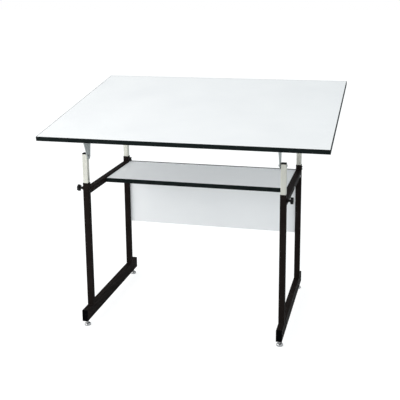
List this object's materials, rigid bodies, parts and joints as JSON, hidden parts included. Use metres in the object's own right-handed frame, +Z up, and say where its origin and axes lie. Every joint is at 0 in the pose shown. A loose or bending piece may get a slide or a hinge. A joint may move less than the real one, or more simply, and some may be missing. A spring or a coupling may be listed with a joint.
{
  "type": "drafting table",
  "caption": "Four-post drafting table with a tilting white top, telescoping square-tube legs, a full-width shelf and a rear modesty panel.",
  "frame": {"origin": "on the floor, under the middle of the whole table's box with the top at its stored 9 degree tilt", "axes": "+X to the sitter's right along the top's long side, +Y to the rear, +Z up"},
  "size_m": [1.2192, 0.9069, 0.9804],
  "materials": {
    "frame_enamel": "satin powder coat, brown-black",
    "tube_plating": "satin nickel-tone plate",
    "bracket_steel": "grey zinc plate",
    "white_board": "white melamine face on particle board",
    "edge_moulding": "satin black moulding",
    "knob_plastic": "semi-gloss black",
    "cap_plastic": "matt black",
    "spacer_nylon": "natural nylon",
    "glide_steel": "bright plated",
    "zinc_hardware": "bright zinc plate"
  },
  "bodies": {
    "base": {"clamp_nuts": "frame_enamel", "foot_end_caps": "cap_plastic", "front_left_post": "frame_enamel", "front_right_post": "frame_enamel", "glide_inserts": "zinc_hardware", "left_foot_rail": "frame_enamel", "left_upper_rail": "frame_enamel", "modesty_panel": "white_board", "modesty_panel_edging": "edge_moulding", "panel_fixing_plates": "frame_enamel", "panel_screws": "zinc_hardware", "rear_left_post": "frame_enamel", "rear_right_post": "frame_enamel", "right_foot_rail": "frame_enamel", "right_upper_rail": "frame_enamel", "shelf_barrel_nuts": "zinc_hardware", "shelf_bolts": "zinc_hardware", "shelf_edging": "edge_moulding", "shelf_panel": "white_board"},
    "front_lift": {"front_left_lift_tube": "tube_plating", "front_pivot_bolts": "zinc_hardware", "front_pivot_nuts": "zinc_hardware", "front_pivot_spacers": "spacer_nylon", "front_right_lift_tube": "tube_plating", "front_tube_caps": "cap_plastic"},
    "tabletop": {"bracket_screws": "zinc_hardware", "front_left_bracket": "bracket_steel", "front_right_bracket": "bracket_steel", "rear_left_bracket": "bracket_steel", "rear_right_bracket": "bracket_steel", "tabletop_core": "white_board", "tabletop_edging": "edge_moulding"},
    "rear_lift": {"rear_left_lift_tube": "tube_plating", "rear_pivot_bolts": "zinc_hardware", "rear_pivot_nuts": "zinc_hardware", "rear_pivot_spacers": "spacer_nylon", "rear_right_lift_tube": "tube_plating", "rear_tube_caps": "cap_plastic"},
    "front_left_clamp": {"front_left_knob": "knob_plastic", "front_left_clamp_screw": "zinc_hardware"},
    "front_left_glide": {"front_left_glide_pad": "glide_steel", "front_left_glide_stud": "zinc_hardware"},
    "front_right_clamp": {"front_right_knob": "knob_plastic", "front_right_clamp_screw": "zinc_hardware"},
    "front_right_glide": {"front_right_glide_pad": "glide_steel", "front_right_glide_stud": "zinc_hardware"},
    "rear_left_clamp": {"rear_left_knob": "knob_plastic", "rear_left_clamp_screw": "zinc_hardware"},
    "rear_left_glide": {"rear_left_glide_pad": "glide_steel", "rear_left_glide_stud": "zinc_hardware"},
    "rear_right_clamp": {"rear_right_knob": "knob_plastic", "rear_right_clamp_screw": "zinc_hardware"},
    "rear_right_glide": {"rear_right_glide_pad": "glide_steel", "rear_right_glide_stud": "zinc_hardware"}
  },
  "joints": [
    {"name": "height", "type": "slide", "parent": "base", "child": "front_lift", "axis": [0, 0, 1], "range_m": [-0.106, 0.095]},
    {"name": "tilt", "type": "hinge", "parent": "front_lift", "child": "tabletop", "pos_m": [0, -0.37728, 0.7484], "axis": [1, 0, 0], "range_deg": [-9, 21]},
    {"name": "rear_rise", "type": "slide", "parent": "front_lift", "child": "rear_lift", "axis": [0, 0, 1], "range_m": [-0.0896, 0.209]},
    {"name": "front_left_knob_turn", "type": "hinge", "parent": "base", "child": "front_left_clamp", "pos_m": [-0.4345, -0.37728, 0.6058], "axis": [-1, 0, 0], "continuous": true},
    {"name": "front_right_knob_turn", "type": "hinge", "parent": "base", "child": "front_right_clamp", "pos_m": [0.4345, -0.37728, 0.6058], "axis": [1, 0, 0], "continuous": true},
    {"name": "rear_left_knob_turn", "type": "hinge", "parent": "base", "child": "rear_left_clamp", "pos_m": [-0.4218, 0.14342, 0.6058], "axis": [0, 1, 0], "continuous": true},
    {"name": "rear_right_knob_turn", "type": "hinge", "parent": "base", "child": "rear_right_clamp", "pos_m": [0.4218, 0.14342, 0.6058], "axis": [0, 1, 0], "continuous": true},
    {"name": "front_left_glide_turn", "type": "hinge", "parent": "base", "child": "front_left_glide", "pos_m": [-0.4218, -0.42748, 0], "axis": [0, 0, 1], "continuous": true},
    {"name": "front_right_glide_turn", "type": "hinge", "parent": "base", "child": "front_right_glide", "pos_m": [0.4218, -0.42748, 0], "axis": [0, 0, 1], "continuous": true},
    {"name": "rear_left_glide_turn", "type": "hinge", "parent": "base", "child": "rear_left_glide", "pos_m": [-0.4218, 0.18092, 0], "axis": [0, 0, 1], "continuous": true},
    {"name": "rear_right_glide_turn", "type": "hinge", "parent": "base", "child": "rear_right_glide", "pos_m": [0.4218, 0.18092, 0], "axis": [0, 0, 1], "continuous": true}
  ],
  "couplings": [
    {"joint": "rear_rise", "follows": "tilt", "m_per_rad": 0.57}
  ]
}
